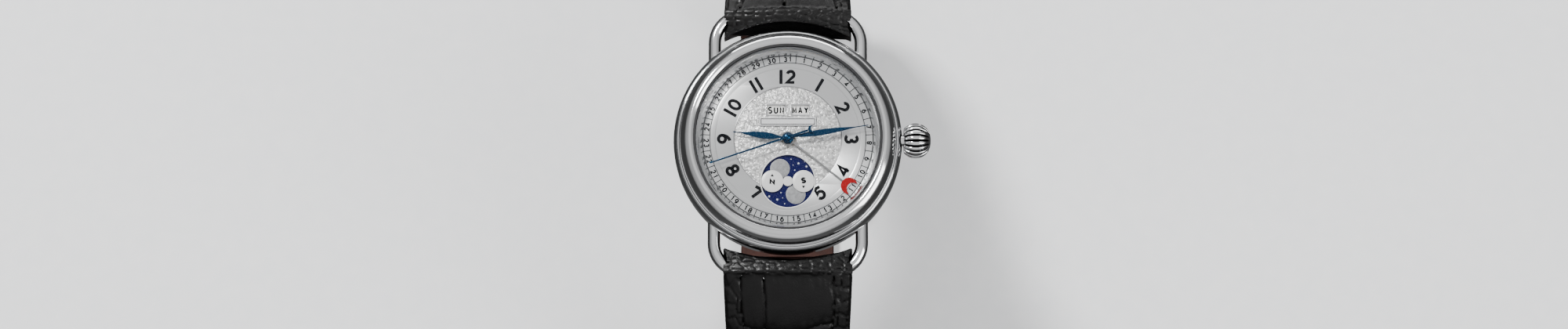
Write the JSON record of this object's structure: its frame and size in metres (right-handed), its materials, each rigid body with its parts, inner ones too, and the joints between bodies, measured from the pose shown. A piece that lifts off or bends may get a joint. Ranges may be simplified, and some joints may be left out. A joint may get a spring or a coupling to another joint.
{
  "type": "wristwatch",
  "caption": "Round steel moon phase wristwatch with wire lugs, an onion crown, blued leaf hands and a black alligator strap",
  "frame": {"origin": "centre of the outer face of the case back", "axes": "+X towards the crown at 3 o'clock, +Y towards 12 o'clock, +Z out of the dial"},
  "size_m": [0.0449, 0.0882, 0.0636],
  "materials": {
    "polished_steel": "mirror polished steel",
    "mirror_steel": "mirror polished steel",
    "brushed_metal": "brushed steel",
    "sapphire": "clear sapphire",
    "gasket_rubber": "soft black rubber",
    "dial_silver": "silvered, fine grain",
    "rhodium_plate": "striped rhodium plate",
    "brass_plate": "gilt brass",
    "ruby": "clear red synthetic ruby",
    "blued_steel": "polished blued steel",
    "date_red": "silver pointer with a red crescent",
    "night_blue": "night blue with silver moons",
    "disc_white": "white print disc",
    "black_leather": "embossed scales, semi-gloss",
    "brown_lining": "smooth dark brown calf"
  },
  "bodies": {
    "case": {"case_middle": "polished_steel", "lug_wire_top": "polished_steel", "lug_wire_bottom": "polished_steel", "bezel": "polished_steel", "crystal": "sapphire", "crystal_gasket": "gasket_rubber", "rehaut": "mirror_steel", "dial": "dial_silver", "dial_centre": "dial_silver", "dial_plaque": "mirror_steel", "moon_mask": "dial_silver", "case_back": "polished_steel", "back_crystal": "sapphire", "back_gasket": "gasket_rubber", "crown_tube": "polished_steel", "movement_ring": "brushed_metal", "main_plate": "rhodium_plate", "barrel_bridge": "rhodium_plate", "train_bridge": "rhodium_plate", "balance_cock": "rhodium_plate", "jewels": "ruby", "movement_screws": "brushed_metal", "case_clamps": "brushed_metal", "calendar_plate": "brass_plate", "rotor_bearing": "brushed_metal", "hairspring": "blued_steel"},
    "crown_seal": {"crown_gasket": "gasket_rubber"},
    "crown_stem": {"crown": "polished_steel", "stem": "brushed_metal"},
    "minute_work": {"minute_hand": "blued_steel", "cannon_pinion": "brushed_metal"},
    "hour_work": {"hour_hand": "blued_steel", "hour_wheel": "brass_plate"},
    "seconds_work": {"seconds_hand": "blued_steel", "fourth_wheel": "brass_plate"},
    "third_arbor": {"third_wheel": "brass_plate"},
    "great_arbor": {"great_wheel": "brass_plate"},
    "mainspring_barrel": {"barrel": "brass_plate"},
    "escape_arbor": {"escape_wheel": "brushed_metal"},
    "pallet_arbor": {"pallet_fork": "brushed_metal"},
    "balance": {"balance_wheel": "brass_plate"},
    "winding_rotor": {"rotor": "rhodium_plate"},
    "date_work": {"date_hand": "date_red", "date_wheel": "brass_plate"},
    "moon_display": {"moon_disc": "night_blue"},
    "day_display": {"day_disc": "disc_white"},
    "month_display": {"month_disc": "disc_white"},
    "date_button": {"date_corrector": "polished_steel"},
    "day_button": {"day_corrector": "polished_steel"},
    "month_button": {"month_corrector": "polished_steel"},
    "moon_button": {"moon_corrector": "polished_steel"},
    "upper_strap": {"strap_top": "black_leather", "lining_top": "brown_lining", "fixed_keeper": "black_leather", "buckle_bar": "brushed_metal"},
    "lower_strap": {"strap_bottom": "black_leather", "lining_bottom": "brown_lining"},
    "sliding_keeper": {"free_keeper": "black_leather"},
    "buckle": {"buckle_frame": "polished_steel"},
    "tongue": {"buckle_tongue": "polished_steel"}
  },
  "joints": [
    {"name": "crown_pull", "type": "slide", "parent": "case", "child": "crown_seal", "axis": [1, 0, 0], "range_m": [0, 0.001]},
    {"name": "crown_turn", "type": "hinge", "parent": "crown_seal", "child": "crown_stem", "pos_m": [0.0224, 0, 0.0054], "axis": [1, 0, 0], "continuous": true},
    {"name": "minute_turn", "type": "hinge", "parent": "case", "child": "minute_work", "pos_m": [0, 0, 0.0084], "axis": [0, 0, 1], "continuous": true},
    {"name": "hour_turn", "type": "hinge", "parent": "case", "child": "hour_work", "pos_m": [0, 0, 0.00795], "axis": [0, 0, 1], "continuous": true},
    {"name": "seconds_turn", "type": "hinge", "parent": "case", "child": "seconds_work", "pos_m": [0, 0, 0.0042], "axis": [0, 0, 1], "continuous": true},
    {"name": "third_turn", "type": "hinge", "parent": "case", "child": "third_arbor", "pos_m": [0.0041, 0.0011, 0.0039], "axis": [0, 0, 1], "continuous": true},
    {"name": "great_turn", "type": "hinge", "parent": "case", "child": "great_arbor", "pos_m": [0.001, 0.00496, 0.0045], "axis": [0, 0, 1], "continuous": true},
    {"name": "barrel_turn", "type": "hinge", "parent": "case", "child": "mainspring_barrel", "pos_m": [-0.00405, 0.007, 0.0038], "axis": [0, 0, 1], "continuous": true},
    {"name": "escape_turn", "type": "hinge", "parent": "case", "child": "escape_arbor", "pos_m": [0.00198, -0.00342, 0.0045], "axis": [0, 0, 1], "continuous": true},
    {"name": "pallet_swing", "type": "hinge", "parent": "case", "child": "pallet_arbor", "pos_m": [-0.00077, -0.00453, 0.0045], "axis": [0, 0, 1], "range_deg": [-5, 5]},
    {"name": "balance_swing", "type": "hinge", "parent": "case", "child": "balance", "pos_m": [-0.0049, -0.0062, 0.0039], "axis": [0, 0, 1], "range_deg": [-135, 135], "stiffness_Nm_per_rad": 0.0000006},
    {"name": "rotor_turn", "type": "hinge", "parent": "case", "child": "winding_rotor", "pos_m": [0, 0, 0.0019], "axis": [0, 0, 1], "continuous": true},
    {"name": "date_turn", "type": "hinge", "parent": "case", "child": "date_work", "pos_m": [0, 0, 0.0075], "axis": [0, 0, 1], "continuous": true},
    {"name": "moon_turn", "type": "hinge", "parent": "case", "child": "moon_display", "pos_m": [0, -0.00748, 0.0067], "axis": [0, 0, 1], "continuous": true},
    {"name": "day_turn", "type": "hinge", "parent": "case", "child": "day_display", "pos_m": [-0.00625, 0.0052, 0.0067], "axis": [0, 0, 1], "continuous": true},
    {"name": "month_turn", "type": "hinge", "parent": "case", "child": "month_display", "pos_m": [0.0064, 0.0052, 0.0067], "axis": [0, 0, 1], "continuous": true},
    {"name": "month_press", "type": "slide", "parent": "case", "child": "month_button", "axis": [-0.866, -0.5, 0], "range_m": [0, 0.0005], "stiffness_N_per_m": 200, "springref_m": -0.0005},
    {"name": "day_press", "type": "slide", "parent": "case", "child": "day_button", "axis": [0.866, -0.5, 0], "range_m": [0, 0.0005], "stiffness_N_per_m": 200, "springref_m": -0.0005},
    {"name": "moon_press", "type": "slide", "parent": "case", "child": "moon_button", "axis": [0.866, 0.5, 0], "range_m": [0, 0.0005], "stiffness_N_per_m": 200, "springref_m": -0.0005},
    {"name": "date_press", "type": "slide", "parent": "case", "child": "date_button", "axis": [-0.866, 0.5, 0], "range_m": [0, 0.0005], "stiffness_N_per_m": 200, "springref_m": -0.0005},
    {"name": "strap_top_swing", "type": "hinge", "parent": "case", "child": "upper_strap", "pos_m": [0, 0.02285, 0.004], "axis": [1, 0, 0], "range_deg": [0, 28]},
    {"name": "strap_bottom_swing", "type": "hinge", "parent": "case", "child": "lower_strap", "pos_m": [0, -0.02285, 0.004], "axis": [-1, 0, 0], "range_deg": [0, 28]},
    {"name": "keeper_slide", "type": "hinge", "parent": "upper_strap", "child": "sliding_keeper", "pos_m": [0, 0.02056, -0.02491], "axis": [1, 0, 0], "range_deg": [-8, 8]},
    {"name": "buckle_swing", "type": "hinge", "parent": "upper_strap", "child": "buckle", "pos_m": [0, 0.01553, -0.0456], "axis": [1, 0, 0], "range_deg": [-20, 20]},
    {"name": "tongue_swing", "type": "hinge", "parent": "buckle", "child": "tongue", "pos_m": [0, 0.01553, -0.0456], "axis": [1, 0, 0], "range_deg": [0, 20]}
  ],
  "couplings": [
    {"joint": "hour_turn", "follows": "minute_turn", "ratio": 0.083333},
    {"joint": "third_turn", "follows": "seconds_turn", "ratio": -0.13333},
    {"joint": "great_turn", "follows": "seconds_turn", "ratio": 0.016667},
    {"joint": "barrel_turn", "follows": "seconds_turn", "ratio": -0.0027778},
    {"joint": "escape_turn", "follows": "seconds_turn", "ratio": -12}
  ]
}
